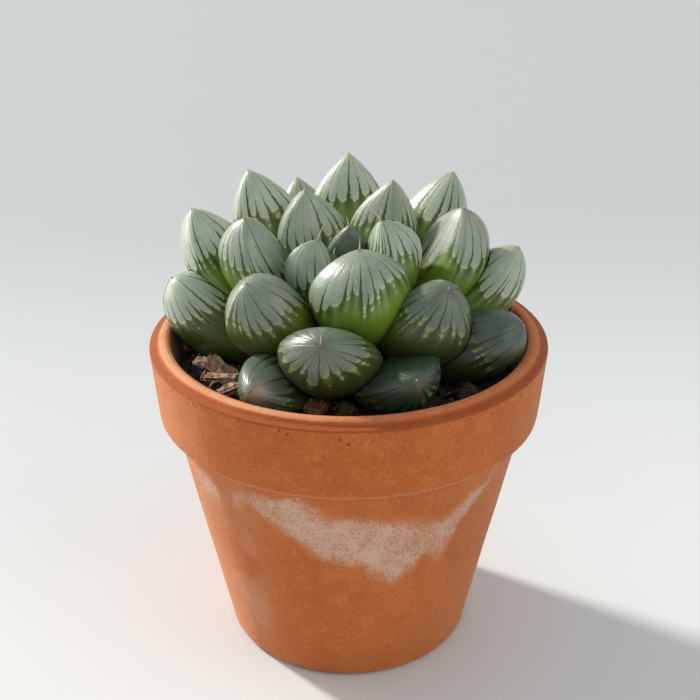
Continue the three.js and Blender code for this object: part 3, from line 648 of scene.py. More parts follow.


# Each row gives the name, the tip, the width, the depth of the back and of the face, the turn of
# the midline, its roll, how far out and up the base is, and how blunt the nose is. Then come how
# dark the leaf is, partly its own tone and partly painted shade on leaves in the others' shade,
# such as the heart leaves; how red its tip and how long the brown line down its keel; the length
# and the sideways lean of the hair at its tip; the veins, each by its place round the leaf (0 back,
# -1 and 1 margins, 2 face) and by how far it runs; and the lower edge of its clear part, by place.
# A row that ends after the hair has the usual veins and edge.
LEAVES = [
    ["heart_leaf_back", (0, 2, 88.6), 9.5, (5, 2), 8, 0, (1, 9), 0.2, (0.84, 0, 0), (2.2, -0.3),
     [(0.1, 1)], [(0, 0.5)]],
    ["heart_leaf_left", (-3, -2.5, 84.5), 7, (4, 1.5), 8, 0, (1.5, 8.5), 0.2, (0.88, 0, 0), (1.5, 0.9),
     [(0, 1)], [(0, 0.55)]],
    ["heart_leaf_front", (0.5, -4.5, 84), 7, (4, 1.5), 8, 0, (1.5, 8.5), 0.2, (0.88, 0, 0), (2, 0.3),
     [(0, 1)], [(0, 0.55)]],
    ["inner_leaf_left", (-6, -4, 88), 12.5, (7, 2.5), 22, 0, (2.5, 7), 0.2, (0.4, 0.2, 0), (3.6, 0.5),
     [(-0.43, 0.81), (-0.63, 0.77), (-0.81, 0.88), (-1.35, 1)],
     [(0, 0.6), (-0.4, 0.62), (-0.8, 0.68), (-1.4, 0.62), (2, 0.55)]],
    ["inner_leaf_right", (6.3, -2, 91), 15.5, (8, 2.5), 25, 0, (3, 6.5), 0.2, (0.22, 0.1, 0), (3.8, -0.9),
     [(1.62, 0.93), (0.9, 1), (0.77, 0.86), (0.62, 0.92), (0.44, 0.8), (0.33, 1)],
     [(-0.5, 0.6), (0.19, 0.6), (0.39, 0.66), (0.49, 0.73), (0.66, 0.77), (1.6, 0.79), (2, 0.66)]],
    ["inner_leaf_front", (2, -11, 88.5), 19.5, (10.5, 3), 40, 0, (3.5, 5.5), 1, (0.42, 0.2, 0), (3, 0.05),
     [(0.38, 0.94), (0.28, 0.85), (0.15, 1), (0.06, 0.86), (-0.05, 0.97), (-0.12, 0.84), (-0.27, 0.93),
      (-0.54, 0.97), (0.68, 0.92)],
     [(0.76, 0.58), (0.43, 0.72), (0.3, 0.78), (0.06, 0.77), (-0.06, 0.82), (-0.42, 0.84), (-0.93, 0.76),
      (2, 0.6)]],
    ["inner_leaf_back_right", (9, 14, 94), 15, (8, 2.5), 22, 0, (4, 5.5), 0.2, (0.36, 0.1, 0), (1, 0.2),
     [(1.95, 1), (1.35, 0.9), (-1.7, 0.75)],
     [(-1.58, 0.62), (-1.82, 0.65), (1.88, 0.71), (1.67, 0.72), (0, 0.7)]],
    ["inner_leaf_back_left", (-9, 12, 92.6), 16, (8, 2.5), 22, 0, (4, 5.5), 0.3,
     (0.34, 0.1, 0), (0.8, 0.2),
     [(1.94, 1), (1.7, 0.75), (-1.86, 0.71), (-1.73, 0.66), (1.55, 0.9)],
     [(-1.4, 0.57), (-1.82, 0.61), (1.91, 0.59), (1.3, 0.65), (0, 0.72)]],
    ["middle_leaf_back", (0, 27, 96), 17.5, (9, 3), 25, 0, (5, 4), 0.2, (0.14, 0.1, 0), (0.6, -0.2),
     [(-1.62, 0.8), (-1.78, 0.76), (2, 0.97), (1.79, 0.86), (1.54, 0.82), (1.25, 0.9)],
     [(-1.67, 0.72), (-1.92, 0.69), (1.9, 0.69), (1.64, 0.73), (0, 0.74)]],
    ["middle_leaf_left", (-20.5, 1, 90.5), 16, (9, 3), 30, 0, (5, 4), 0.8, (0.44, 0.3, 0), (0.7, 0.1),
     [(-0.58, 0.94), (-0.73, 0.85), (-0.9, 0.98), (-1.2, 0.86), (-1.36, 0.76), (-1.6, 1), (1.75, 0.87),
      (1.86, 0.74)],
     [(0, 0.78), (-0.55, 0.77), (-0.92, 0.74), (-1.31, 0.67), (-1.62, 0.54), (1.8, 0.55), (1, 0.7)]],
    ["middle_leaf_right", (22.6, 4, 91.5), 18, (9.7, 2.4), 42, 0, (5, 4), 0.6, (0.42, 0.6, 0), (1.2, -0.1),
     [(1.58, 0.93), (1.15, 0.87), (0.85, 1), (0.62, 0.92), (0.4, 1)],
     [(1.8, 0.56), (1.74, 0.7), (1.62, 0.76), (1.35, 0.73), (0.7, 0.74), (0.4, 0.79), (0, 0.76),
      (-1.5, 0.6)]],
    ["middle_leaf_back_left", (-21, 21, 94), 17, (9, 3), 25, 0, (5, 3.5), 0.5, (0.14, 0.2, 0), (0.6, 0),
     [(-1.7, 0.8), (-1.9, 0.84), (1.86, 0.95), (1.58, 0.88)],
     [(-1.67, 0.72), (-1.91, 0.7), (1.71, 0.71), (0, 0.74)]],
    ["middle_leaf_back_right", (22, 23, 93), 17, (9, 3), 25, 0, (5, 3.5), 0.5, (0.25, 0.3, 0), (0.6, 0),
     [(1.6, 0.97), (1.35, 0.95)], [(-1.88, 0.69), (1.88, 0.7), (0, 0.72)]],
    ["middle_leaf_front_left", (-19.2, -14, 82.8), 17, (9.3, 6), 25, 0, (5, 3), 1, (0.6, 1, 0), (1.6, 0.6),
     [(-0.37, 0.87), (-0.27, 0.98), (-0.52, 0.97), (-0.66, 0.91), (-0.83, 1), (-1.08, 0.9), (-1.26, 0.82),
      (-1.43, 0.97)],
     [(-0.08, 0.9), (-0.28, 0.85), (-0.42, 0.83), (-0.7, 0.78), (-1.39, 0.77), (-1.53, 0.72), (-1.64, 0.62),
      (-1.74, 0.5), (1.5, 0.55), (0.5, 0.84)]],
    ["middle_leaf_front_right", (18.3, -16, 82.5), 18.5, (10, 5), 25, 0, (5, 3), 1,
     (0.8, 1, 0), (0.9, -0.2),
     [(1.1, 0.95), (0.8, 0.94), (0.6, 1), (0.37, 0.96), (0, 0.99)],
     [(1.74, 0.6), (1.6, 0.75), (1.5, 0.8), (0.74, 0.83), (0.35, 0.87), (0.15, 0.86), (-0.3, 0.88),
      (-1.3, 0.72), (-1.7, 0.56)]],
    ["outer_leaf_front", (-5, -30, 77.6), 19.5, (8.2, 4.8), 12, 0, (5.5, 1.5), 1, (0.76, 1, 3), (2.8, 0.1),
     [(0.64, 0.97), (0.28, 0.96), (0, 1), (-0.3, 0.95), (-0.75, 0.96), (-1.3, 0.94)],
     [(0.7, 0.84), (0.47, 0.88), (0.1, 0.87), (-0.3, 0.89), (-0.53, 0.88), (-1.3, 0.8), (-1.6, 0.66),
      (2, 0.58), (1.4, 0.68)]],
    ["outer_leaf_left", (-35.4, 2.3, 77.4), 19, (9.5, 5.5), 52, -5, (5.5, 1), 1, (0.2, 1, 0), (0.6, 0),
     [(-0.79, 0.95), (-1.02, 1), (-1.25, 0.88), (-1.38, 0.88), (-1.6, 1), (-1.45, 0.76), (-1.82, 0.81),
      (-2, 0.95), (-1.73, 0.75)],
     [(-0.3, 0.92), (-0.68, 0.84), (-1.22, 0.8), (-1.58, 0.72), (-1.66, 0.66), (-1.8, 0.67), (-1.99, 0.74),
      (1.5, 0.7), (0.5, 0.86)]],
    ["outer_leaf_left_back", (-32, 12, 88.6), 18.5, (9, 3), 38, 0, (5.5, 2), 0.6,
     (0.12, 0.8, 0), (0.5, -0.3),
     [(1.86, 0.95), (-1.92, 0.86), (-1.69, 0.83), (-1.5, 0.78)],
     [(-1.4, 0.72), (-1.95, 0.75), (1.2, 0.72), (0, 0.76)]],
    ["outer_leaf_right_back", (34, 5, 83), 16, (9, 3.5), 30, 0, (5.5, 1.5), 0.8, (0.2, 0.8, 0), (0.5, 0),
     [(-1.88, 0.94), (1.8, 0.94), (1.6, 0.83), (1.1, 0.97), (0.72, 0.98), (0.95, 0.84)],
     [(1.68, 0.73), (1.39, 0.7), (0.65, 0.76), (0.5, 0.83), (-0.8, 0.78), (-1.7, 0.7)]],
    ["outer_leaf_right", (33.2, -13, 73.8), 18, (8, 5.5), 22, 0, (5.5, 0.5), 0.9, (0.95, 1, 0), (0.5, 0),
     [(1.15, 0.95), (0.52, 0.96)],
     [(1.76, 0.66), (1.45, 0.75), (0.73, 0.78), (0.26, 0.82), (0.13, 0.87), (-0.8, 0.8), (-1.6, 0.64)]],
    ["outer_leaf_far_left", (-11.5, 35, 88), 15, (8, 3), 35, 0, (5.5, 1.5), 0.5, (0.3, 0.4, 0), (0.6, 0)],
    ["outer_leaf_far_back", (6, 37, 83), 15, (8, 3), 35, 0, (5.5, 1), 0.5, (0.5, 0.6, 0), (0.8, 0.2)],
    ["outer_leaf_back_left", (-24, 29, 80), 15, (8, 3), 35, 0, (5.5, 1), 0.5, (0.5, 0.8, 0), (0.6, -0.2)],
    ["outer_leaf_back_right", (27, 28, 79), 15, (8, 3), 35, 0, (5.5, 1), 0.5, (0.55, 0.7, 0), (0.8, 0.2)],
    ["outer_leaf_front_left", (-17.8, -30, 68.8), 14.5, (7, 3), 12, -25, (5.5, 0.5), 0.9,
     (0.8, 2, 2), (0.5, 0),
     [(-0.3, 0.95), (-1, 1), (-1.45, 0.96)],
     [(-0.5, 0.86), (-0.76, 0.84), (-1.49, 0.81), (-1.68, 0.7), (2, 0.6), (1.2, 0.66), (0.3, 0.86)]],
    ["outer_leaf_front_right", (12, -31, 71.4), 17.5, (7.5, 2.4), 10, 12, (5.5, 0.5), 0.9,
     (1, 0.7, 7), (0.6, 0),
     [(0, 1)],
     [(1.6, 0.55), (1.4, 0.68), (0.68, 0.8), (-0.24, 0.93), (-0.82, 0.86), (-1.5, 0.66), (2, 0.5)]],
    ["lowest_leaf_left", (-27, 20, 71), 14, (7, 3), 40, 0, (5.5, 0.3), 0.8, (0.75, 1, 3), (0.5, 0)],
    ["lowest_leaf_right", (20, 34, 70), 14, (7, 3), 40, 0, (5.5, 0.3), 0.8, (0.75, 1, 3), (0.5, 0)],
]


def read_data(rows, name, width=1, kind=float):
    """One number of each row of a mesh's data, or a few."""
    values = np.empty(len(rows) * width, kind)
    rows.foreach_get(name, values)
    return values.reshape(-1, width) if width > 1 else values


def drawn_out(name, sides, rings, rule):
    """A ball whose points a rule places, by their share from pole to pole and their angle."""
    bpy.ops.mesh.primitive_uv_sphere_add(segments=sides, ring_count=rings, radius=1)
    piece = bpy.context.object
    piece.name = name
    ball = read_data(piece.data.vertices, "co", 3)
    share = 1 - np.arccos(np.clip(ball[:, 2], -1, 1)) / math.pi
    points = rule(share, -np.arctan2(ball[:, 1], ball[:, 0]))
    piece.data.vertices.foreach_set("co", (points * mm).ravel())
    piece.data.update()
    return piece


def box_of(piece):
    """The lowest and the highest corner of a piece."""
    corners = np.array([corner[:] for corner in piece.bound_box])
    return corners.min(0), corners.max(0)


def cut_clear(piece, spaces):
    """Cuts a piece clear of the spaces that others take, and drops what that leaves loose."""
    low, high = box_of(piece)
    for space in spaces:
        space_low, space_high = box_of(space)
        if (low < space_high).all() and (high > space_low).all():
            cut = {"object": space, "operation": "DIFFERENCE", "solver": "MANIFOLD"}
            use_modifier(piece, "BOOLEAN", cut)
    group = np.arange(len(piece.data.vertices))
    ends = read_data(piece.data.edges, "vertices", 2, int)
    while True:
        lowest = np.minimum(group[ends[:, 0]], group[ends[:, 1]])
        joined = group.copy()
        np.minimum.at(joined, ends[:, 0], lowest)
        np.minimum.at(joined, ends[:, 1], lowest)
        joined = joined[joined]
        if (joined == group).all():
            break
        group = joined
    names, counts = np.unique(group, return_counts=True)
    bpy.context.view_layer.objects.active = piece
    bpy.ops.object.mode_set(mode="EDIT")
    bpy.ops.mesh.select_all(action="DESELECT")
    bpy.ops.object.mode_set(mode="OBJECT")
    piece.data.vertices.foreach_set("select", group != names[counts.argmax()])
    bpy.ops.object.mode_set(mode="EDIT")
    bpy.ops.mesh.delete(type="VERT")
    bpy.ops.object.mode_set(mode="OBJECT")


def mark_skin(piece, leaf):
    """Writes on each corner of a leaf how its veins and its clear part run there."""
    data = piece.data
    points = read_data(data.vertices, "co", 3) / mm
    share, side, height = leaf.where(points)
    wide, back, face = leaf.shares(np.clip(share, 0, 1))
    deep = np.where(height < 0, leaf.depth[0] * back, leaf.depth[1] * face) + 1e-3
    turned = 1 - np.arctan2(abs(height / deep) ** np.where(height < 0, 0.91, 0.83), side) * 2 / math.pi
    round_place = np.where(height < 0, turned, np.where(turned < 0, -2 - turned, 2 - turned))

    corner_point = read_data(data.loops, "vertex_index", kind=int)
    starts = read_data(data.polygons, "loop_start", kind=int)
    sizes = read_data(data.polygons, "loop_total", kind=int)
    spot = ((round_place - leaf.seam) % 4)[corner_point]
    spread = np.maximum.reduceat(spot, starts) - np.minimum.reduceat(spot, starts)
    spot += 4 * (np.repeat(spread > 2, sizes) & (spot < 2))
    quarter = math.pi / 2 * np.sqrt(((leaf.width * wide / 2) ** 2 + deep**2) / 2)
    from_middle = (turned * quarter)[corner_point]
    from_margin = ((1 - abs(turned)) * quarter * np.where(height < 0, 1, -1))[corner_point]
    share, quarter = share[corner_point], quarter[corner_point]

    strand = leaf.strand(spot + leaf.seam)
    level = leaf.sill(spot + leaf.seam)
    top = np.maximum(leaf.tops[np.round(strand).astype(int) % len(leaf.tops)], level + 0.035)
    gaps = np.diff(leaf.places)
    spacing = quarter * np.interp(strand % len(gaps), np.arange(len(gaps)) + 0.5, gaps, period=len(gaps))
    from_tip = np.linalg.norm(points - leaf.tip, axis=1)[corner_point]
    same = np.ones_like(spot)
    for name, values in {
        "vein_flow": (strand, share, from_middle),
        "clear_part": (top, level, spacing),
        "leaf_place": (from_tip, from_margin, same * leaf.number),
        "leaf_look": [same * look for look in leaf.looks],
    }.items():
        layer = data.attributes.new(name, "FLOAT_VECTOR", "CORNER")
        layer.data.foreach_set("vector", np.stack(values, 1).astype(np.float32).ravel())


leaf_skin, pen, place = new_material("leaf_skin")


def read(name):
    """The three numbers that a leaf's corners carry under a name."""
    return pen.add("Attribute", {"attribute_name": name}, None, "Vector").split()


def chance(first, second):
    """A number from 0 to 1, drawn anew for each pair of whole numbers on each leaf."""
    pair = pen.add("CombineXYZ", None, {0: first, 1: second, 2: leaf_number})
    return pen.add("TexWhiteNoise", {"noise_dimensions": "3D"}, {"Vector": pair})


strand, share, from_middle = read("vein_flow")
top, sill, spacing = read("clear_part")
from_tip, from_margin, leaf_number = read("leaf_place")
dark, red, keel = read("leaf_look")
fine = pen.grain(place, 2300, 3, 0.6)
dust = pen.grain(place, 5200, 2, 0.5)
cloud = pen.grain(place, 330, 3, 0.55)
wander = pen.grain(place, 420, 2) - 0.5
jitter = pen.grain(place, 1400, 2) - 0.5
strand = strand + wander * 0.34 + jitter * 0.12
from_vein = abs((strand + 0.5).fract() - 0.5)
luck = chance(strand.floor(), 0.0)

# Veins run up through the clear part, broad at its lower edge and thin above it, with a few links.
# Heights over that edge are shares of the leaf, and widths are millimetres.
edge = share - sill - (luck - 0.5) * 0.07 - wander * 0.035 - jitter * 0.022
climb = (edge / (top - sill)).least(1).most(0)
lobe = 0.5 - (edge / (luck * 0.03 + 0.014)).least(1).most(0).root() * 0.5
spike = (1 - climb) ** 3.0 * 0.36 + (1 - climb) ** 0.5 * 0.165
spike = spike * (0.8 + jitter * 0.9)
broad = (lobe * spacing).most(spike) + edge.step(0.0, -0.012) * 2.0
beside = from_vein * spacing - broad
vein = beside.step(0.06, -0.03)
link_height = 0.3 + luck * 0.3 + from_vein * (1.5 - from_vein) * 0.35
link = abs((share - sill) / (0.93 - sill) - link_height).step(0.022, 0.006) * luck.step(0.7, 0.72)
vein = vein.most(link * (top - share).step(0.0, 0.02) * edge.step(0.02, 0.03) * 0.8)
halo = beside.step(0.4, 0.0) * edge.step(0.12, 0.0)
rim = edge.step(0.035, 0.0) * edge.step(-0.004, 0.004)

# Pale spots in rows below the clear part, between the veins.
depth = (0 - edge).most(0)
row = depth / 0.034 + luck
row_luck = chance(strand.floor(), row.floor() + 7)
sideways = (0.5 - from_vein) * spacing
upwards = (row.fract() - 0.5) * 0.8
reach = (sideways * sideways + upwards * upwards).root() + (fine - 0.5) * 0.35
size = row_luck * 0.7 * depth.step(0.15, 0.0) - 0.1
spots = (size - reach).step(-0.05, 0.2) * depth.step(0.002, 0.01)

# Colours. The clear part is dusted with wax, and the green part is palest at its foot. Leaves in the
# others' shade carry painted shade, and old outer leaves are darker low down, partly from age and
# partly as painted shade.
# Painted shade: besides each leaf's own tone, the darkness holds shade painted on leaves that lie in the
# others' shade.
shade = ((dark - 0.4) / 0.6).most(0)
pale = dark.mix((0.42, 0.495, 0.37), (0.026, 0.052, 0.031))
frost = dark.mix((0.62, 0.67, 0.56), (0.068, 0.11, 0.07))
yellow = shade.mix((0.33, 0.43, 0.10), (0.10, 0.15, 0.035))
bright = shade.mix((0.58, 0.66, 0.28), (0.22, 0.30, 0.09))
dusting = cloud.step(0.35, 0.7) * 0.3 + fine.step(0.45, 0.75) * 0.4 + dust.step(0.55, 0.8) * 0.3
clear = dusting.mix(pale, frost)
along = pen.add("CombineXYZ", None, {0: strand * 9.0, 1: share * 11.0, 2: leaf_number})
streak = pen.grain(along, 1.0, 2)
clear = (streak.step(0.58, 0.72) * 0.22).mix(clear, yellow)
clear = (halo * 0.45).mix(clear, yellow)
clear = (rim * 0.7).mix(clear, bright)
ink = shade.mix((0.026, 0.062, 0.004), (0.012, 0.024, 0.005))
flesh = shade.mix((0.165, 0.26, 0.018), (0.026, 0.038, 0.010))
foot = shade.mix((0.24, 0.33, 0.06), (0.12, 0.14, 0.04))
green = depth.step(0.0, 0.11).mix(ink, flesh)
column = from_vein.step(0.12, 0.45) * depth.step(0.2, 0.02)
green = (column * 0.4).mix(green, yellow)
green = (share.step(0.42, 0.12) * 0.8).mix(green, foot)
green = (cloud.step(0.4, 0.7) * 0.3).mix(green, flesh)
green = (fine.step(0.6, 0.72) * 0.22).mix(green, yellow)
vein_ink = (climb * 0.5).mix(ink, shade.mix((0.045, 0.10, 0.012), (0.028, 0.05, 0.012)))
height = place.split()[2] * 1000
# Partly age and partly painted shade: old outer leaves are painted darker below 79 mm, near the soil.
low_shade_and_age = red.step(0.72, 1.0) * height.step(79, 70) * depth.step(0.0, 0.06)
green = (low_shade_and_age * 0.72).mix(green, (0.034, 0.042, 0.013))
green = edge.step(0.0, 0.02).mix(green, vein_ink)
colour = vein.mix(clear, green)
colour = (spots * 0.85).mix(colour, bright)
# White margins, a red tip and a red line down the keel, and a dry tip on old leaves.
margin = abs(from_margin).step(0.22, 0.06) * share.step(0.58, 0.75)
colour = (margin * fine * 0.45).mix(colour, frost)
tip_red = from_tip.step(0.6, 0.25) * red
dry = from_tip.step(5.0, 1.5) * (red - 1).most(0) * from_middle.step(0.9, -0.6)
colour = (dry * 0.5).mix(colour, (0.46, 0.40, 0.28))
dry = dry * streak.step(0.46, 0.58)
line_red = abs(from_middle + wander * 0.5).step(0.22, 0.08) * (keel - from_tip).step(0.0, 2.0)
line_red = line_red * from_margin.step(0, 0.5) * fine.step(0.36, 0.5)
flush = (tip_red * 0.9).most(line_red * 0.7).most(dry * 0.7).least(1)
colour = flush.mix(colour, (0.26, 0.085, 0.035))

relief = fine * 0.5 + dust * 0.3 + cloud * 0.8 - vein * edge.step(0, 0.02) * 0.35 + margin * 0.6
rough = 0.22 + fine * 0.12 + dust * 0.08 + vein * 0.08
watery = {
    "Subsurface Weight": 0.4,
    "Subsurface Radius": (0.6, 1.0, 0.2),
    "Subsurface Scale": 0.003,
    "Specular IOR Level": 0.7,
}
surface(pen, colour, rough, relief, 0.4, 0.00018, watery)

STEM_ROOM, SOIL_ROOM = 0.3, 0.25  # millimetres that the leaves keep off the stem and the soil
stem_room = [(radius + STEM_ROOM, up_to) for radius, up_to in stem_outline]
stem_space = turned("stem_space", stem_room, 64)
close_ends(stem_space)
stem_space.data.transform(Matrix.Translation(crown) @ lean.to_matrix().to_4x4())
soil_space = soil.copy()
soil_space.data = soil.data.copy()
scene.collection.objects.link(soil_space)
soil_space.data.transform(Matrix.Translation((0, 0, SOIL_ROOM * mm)))
lip_outline = [(34.6, 57), (40.3, 57), (40.3, 66.3), (40, 66.5), (38.6, 67.1), (38.2, 67.4), (36.6, 67.4)]
lip_outline += [(35.7, 66.9), (35.4, 66), (34.7, 63), (34.6, 57)]
lip_space = turned("lip_space", lip_outline, 128)
spaces = [stem_space, soil_space, lip_space]

leaves = []
for number, row in enumerate(LEAVES, 1):
    leaf = Leaf(number, *row)
    sides, rings = (96, 60) if leaf.width < 10 else (150, 90)
    piece = drawn_out(leaf.name + "_piece", sides, rings, leaf.fleshy)
    cut_clear(piece, spaces)
    mark_skin(piece, leaf)
    smooth(piece, 40)
    hand_over(piece, "leaf", leaf_skin, leaf.name)
    spaces.append(drawn_out(leaf.name + "_space", 72, 44, leaf.kept_free))
    leaves.append((leaf, piece))
for space in spaces:
    bpy.data.objects.remove(space)

# ---------------------------------------------------------------- hairs and teeth of the leaves
# Each tip runs out into a dry, straw-coloured hair, and tiny white teeth stand along both margins of
# the inner and middle leaves. They are dried ends of the leaf's own skin, so they are rooted in it.


def thread(name, start, bend, end, thick, sides=8, rings=14):
    """A thin piece along a bent line in millimetres. thick gives its radius by the share of it."""
    start, bend, end = (np.array(point, float) for point in (start, bend, end))

    def rule(share, around):
        left = 1 - share
        points = np.outer(left**2, start) + np.outer(2 * left * share, bend) + np.outer(share**2, end)
        way = np.outer(left, bend - start) + np.outer(share, end - bend)
        way /= np.linalg.norm(way, axis=1)[:, None]
        aside = np.cross(way, (0.48, 0.8, 0.36))
        aside /= np.linalg.norm(aside, axis=1)[:, None]
        out = np.cos(around)[:, None] * aside + np.sin(around)[:, None] * np.cross(aside, way)
        return points + thick(share)[:, None] * out

    return drawn_out(name, sides, rings, rule)


def join(name, pieces):
    """Joins pieces as one."""
    bpy.ops.object.select_all(action="DESELECT")
    for piece in pieces:
        piece.select_set(True)
    bpy.context.view_layer.objects.active = pieces[0]
    bpy.ops.object.join()
    bpy.context.object.name = name
    return bpy.context.object


def scatter(name, patterns, places):
    """Copies the patterns in turn to places, each given as a matrix, and joins the copies."""
    copies = []
    for count, place in enumerate(places):
        copy = patterns[count % len(patterns)].copy()
        copy.data = copy.data.copy()
        copy.data.transform(place)
        scene.collection.objects.link(copy)
        copies.append(copy)
    for pattern in patterns:
        bpy.data.objects.remove(pattern)
    return join(name, copies)


def hair_thickness(share):
    """Radius of a hair: flared at its root, and thin from there on."""
    return 0.26 * (1 - share) ** 3 + 0.13 * (1 - share) ** 0.7


hairs = []
for leaf, _ in leaves:
    length, sideways = leaf.hair
    way = leaf.along * math.cos(leaf.turn / 2) + leaf.face * math.sin(leaf.turn / 2)
    goal = np.array([sideways, 0, 1]) / math.hypot(sideways, 1) + way * (0.15 if length > 1.5 else 1)
    goal *= length / np.linalg.norm(goal)
    hair = thread("hair", leaf.tip - 0.7 * way, leaf.tip + 0.35 * way, leaf.tip + goal, hair_thickness)
    points = read_data(hair.data.vertices, "co", 3) / mm
    foot = np.clip((points - leaf.tip) @ goal / length**2, 0, 1)
    layer = hair.data.attributes.new("hair_look", "FLOAT_VECTOR", "POINT")
    look = np.stack((foot, foot * 0 + min(1, leaf.looks[1]), foot * 0), 1)
    layer.data.foreach_set("vector", look.astype(np.float32).ravel())
    hairs.append(hair)
hairs = join("leaf_hairs", hairs)
smooth(hairs, 60)
straw, pen, place = new_material("straw")
foot, red = read("hair_look")[:2]
fibre = pen.grain(place, 3000, 2)
colour = foot.step(0.0, 0.3).mix((0.44, 0.46, 0.24), (0.74, 0.70, 0.54))
colour = (red * foot.step(0.45, 0.1) * 0.85).mix(colour, (0.33, 0.10, 0.05))
surface(pen, colour, 0.5 + fibre * 0.2, fibre, 0.3, 0.00005)
hand_over(hairs, "leaf", straw)


def tree_of(piece):
    """A piece as a tree that finds its faces near a point or along a ray."""
    return BVHTree.FromObject(piece, bpy.context.evaluated_depsgraph_get())


forest = [tree_of(piece) for _, piece in leaves]
draw = random.Random(5)
tooth_places = []
for number, (leaf, _) in enumerate(leaves):
    if not leaf.name.startswith(("inner", "middle")):
        continue
    for way_out in (0, math.pi):
        share = 0.5
        while share < 0.97:
            points = leaf.skin(np.array([share, share + 0.01]), np.array([way_out, way_out]))
            foot = Vector(points[0]) * mm
            out = Vector(leaf.across * math.cos(way_out))
            ahead = Vector(points[1] - points[0]).normalized()
            size = draw.uniform(0.12, 0.24) * mm
            tip = foot + out * size
            on_skin = forest[number].find_nearest(foot, 0.06 * mm)[0]
            others = [tree for count, tree in enumerate(forest) if count != number]
            if on_skin and not any(tree.find_nearest(tip, 0.12 * mm)[0] for tree in others):
                up = (out + ahead * 0.4).normalized()
                turned_to = up.to_track_quat("Z", "Y").to_matrix().to_4x4()
                tooth_places.append(Matrix.Translation(foot) @ turned_to @ Matrix.Scale(size, 4))
            share += draw.uniform(0.016, 0.04)
bpy.ops.mesh.primitive_cone_add(vertices=4, radius1=0.42, depth=1.4, location=(0, 0, 0.4))
tooth = bpy.context.object
bpy.ops.object.transform_apply(location=True, rotation=True, scale=True)
teeth = scatter("leaf_teeth", [tooth], tooth_places)
tooth_white, pen, place = new_material("tooth_white")
fibre = pen.grain(place, 2500, 2)
colour = fibre.mix((0.50, 0.56, 0.40), (0.74, 0.76, 0.66))
surface(pen, colour, 0.4 + fibre * 0.2, fibre, 0.2, 0.00005)
hand_over(teeth, "leaf", tooth_white)

# ---------------------------------------------------------------- crumbs, slivers and dry threads
# Loose crumbs of rotted bark and grit on top of the soil, split slivers of bark, thin dry rootlets
# and a dry stalk at the rim. They lie where they fell, between the leaves and the pot's wall.
ground = tree_of(soil)
lying = [tree_of(bit) for bit in bits]
upward = Vector((0, 0, 1))
CRUMB_LIMIT = 34.1  # radius, just inside the wall


def resting(x, y, radius):
    """Where a crumb of a radius rests on the soil at a place, or nothing where it has no room."""
    if math.hypot(x, y) + radius > CRUMB_LIMIT:
        return None
    spot = ground.ray_cast(Vector((x, y, 75)) * mm, -upward)[0]
    if not spot:
        return None
    spot.z += 0.35 * radius * mm
    for tree in forest + lying:
        if tree.find_nearest(spot, (radius + 0.15) * mm)[0]:
            return None
        _, normal, _, _ = tree.ray_cast(spot, upward)
        if normal and normal.z > 0:
            return None
    return spot


NEAREST, FARTHEST = 16, 34  # millimetres from the pot's axis
draw = random.Random(11)
crumb_places = []
for _ in range(2600):
    reach, turn_by = math.sqrt(draw.uniform(NEAREST**2, FARTHEST**2)), draw.uniform(0, 2 * math.pi)
    radius = 0.28 + 0.75 * draw.random() ** 2.5
    spot = resting(reach * math.cos(turn_by), reach * math.sin(turn_by), radius)
    if spot:
        spin = Euler([draw.uniform(0, 6) for _ in range(3)]).to_matrix().to_4x4()
        crumb_places.append(Matrix.Translation(spot) @ spin @ Matrix.Scale(radius, 4))
patterns = []
for seed in range(6):
    bpy.ops.mesh.primitive_ico_sphere_add(subdivisions=2, radius=mm)
    pattern = bpy.context.object
    shift = Vector((seed * 5.1, seed * 2.3, 1.7))
    for vertex in pattern.data.vertices:
        spot = vertex.co / mm
        push = 1 + 0.9 * noise.noise(spot * 1.3 + shift)
        vertex.co = Vector((spot.x * 1.15, spot.y * 0.85, spot.z * (0.5 + 0.08 * seed))) * push * mm
    patterns.append(pattern)
crumbs = scatter("soil_crumbs", patterns, crumb_places)
crumb_mix, pen, place = new_material("crumb_mix")
kind = pen.grain(place, 420, 2, 0.6)
fine = pen.grain(place, 2600, 3, 0.6)
colour = kind.step(0.42, 0.55).mix((0.016, 0.011, 0.008), (0.085, 0.04, 0.022))
colour = kind.step(0.58, 0.66).mix(colour, (0.27, 0.155, 0.095))
colour = (fine.step(0.55, 0.75) * 0.4).mix(colour, (0.30, 0.19, 0.125))
surface(pen, colour, 0.8 + fine * 0.15, fine, 0.7, 0.0002)
hand_over(crumbs, "soil", crumb_mix)


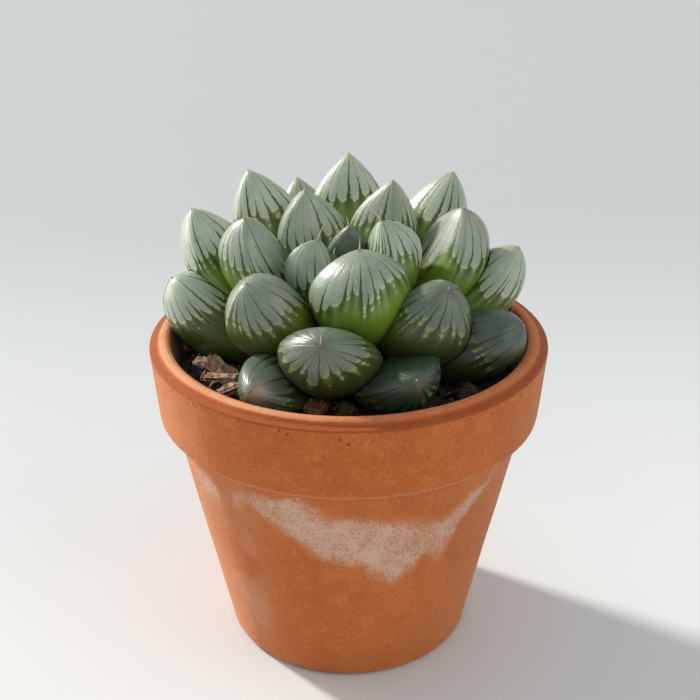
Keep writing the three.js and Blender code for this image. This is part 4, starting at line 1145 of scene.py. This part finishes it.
def spindle(radius):
    """Thickness of a sliver that is pointed at both ends."""
    return lambda share: radius * np.sqrt(np.sin(math.pi * np.clip(share, 0.01, 0.99)))


slivers = [
    thread("sliver", start, bend, end, spindle(radius))
    for start, bend, end, radius in (
        ((-33.4, 0.7, 62.2), (-32.9, 2.4, 62.9), (-31.5, 3.6, 63.2), 0.3),
        ((-30.4, -3.9, 62.3), (-30.1, -2, 63), (-29.3, 0.2, 63.8), 0.34),
        ((-28.9, -12.6, 61.9), (-28.6, -11.4, 62.7), (-28, -10, 62.8), 0.24),
        ((-26.8, -16.1, 62), (-26.4, -15, 62.9), (-25.4, -14.2, 62.6), 0.28),
        ((-24.6, -20.2, 62), (-23.6, -19.6, 62.8), (-22.2, -20.1, 62.5), 0.22),
    )
]
for _ in range(70):
    reach, turn_by = draw.uniform(22, 33), draw.uniform(0, 2 * math.pi)
    start = resting(reach * math.cos(turn_by), reach * math.sin(turn_by), 0.3)
    heading, length = draw.uniform(0, 2 * math.pi), draw.uniform(1.2, 3.6)
    if not start:
        continue
    end = resting(start.x / mm + length * math.cos(heading), start.y / mm + length * math.sin(heading), 0.3)
    if end:
        bend = (start + end) / 2 + Vector((draw.uniform(-0.6, 0.6), draw.uniform(-0.6, 0.6), 0.7)) * mm
        radius = draw.uniform(0.06, 0.2)
        slivers.append(thread("sliver", start / mm, bend / mm, end / mm, spindle(radius), 6, 10))
slivers = join("bark_slivers", slivers)
smooth(slivers, 70)
hand_over(slivers, "bark", bark)

threads = [
    thread("thread", (-4.2, -23, 64.2), (-3.9, -24.5, 62.8), (-2.7, -25.6, 62.2), spindle(0.08)),
    thread("thread", (33.4, 11.6, 69.8), (34.9, 10, 68), (33.4, 9.3, 64.6), spindle(0.3)),
]
threads = join("dry_threads", threads)
smooth(threads, 70)
dry_root, pen, place = new_material("dry_root")
fibre = pen.grain(place, 1800, 3)
colour = fibre.step(0.35, 0.65).mix((0.24, 0.085, 0.045), (0.42, 0.25, 0.15))
surface(pen, colour, 0.65 + fibre * 0.2, fibre, 0.5, 0.0001)
hand_over(threads, "bark", dry_root)
